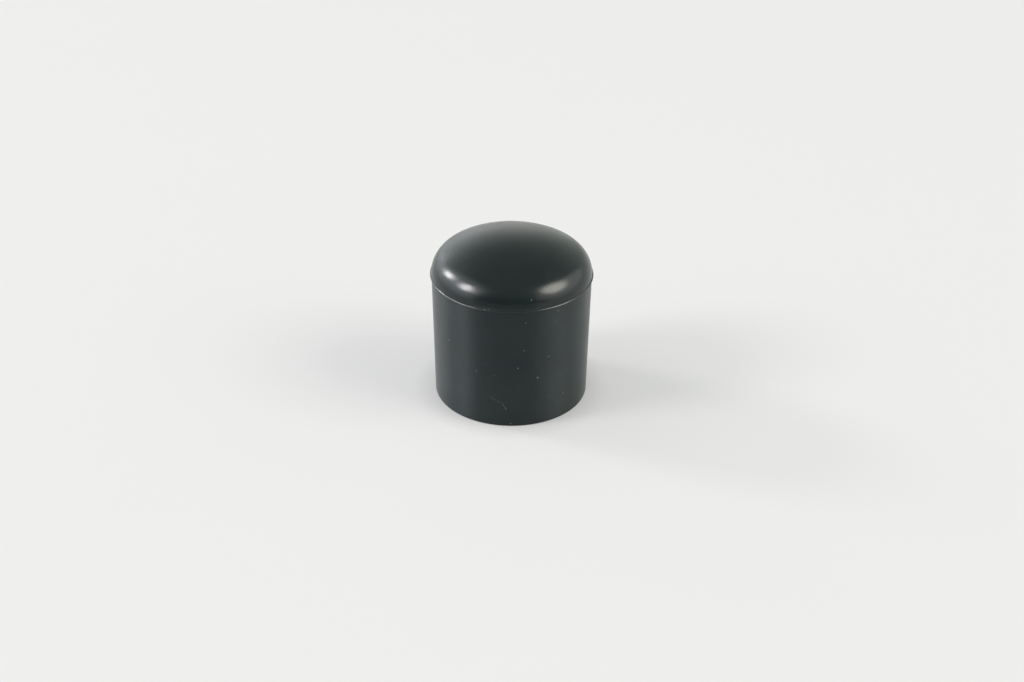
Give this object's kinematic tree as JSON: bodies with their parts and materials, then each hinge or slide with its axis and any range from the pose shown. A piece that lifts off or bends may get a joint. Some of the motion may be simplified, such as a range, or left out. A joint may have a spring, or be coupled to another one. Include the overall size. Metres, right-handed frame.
{
  "type": "tube end cap",
  "caption": "Domed push-on end cap for a round tube: a drafted skirt with a blind socket, a glossy crown and a fine moulding line between them.",
  "frame": {"origin": "centre of the open mouth, on the surface that the cap stands on", "axes": "+Z along the socket's axis, from the mouth to the top of the crown"},
  "size_m": [0.0304, 0.0304, 0.0324],
  "materials": {
    "cap_plastic": "black moulded plastic with a faint blue-green cast: glossy on the crown, satin on the skirt"
  },
  "bodies": {
    "root": {"end_cap": "cap_plastic"}
  },
  "joints": []
}
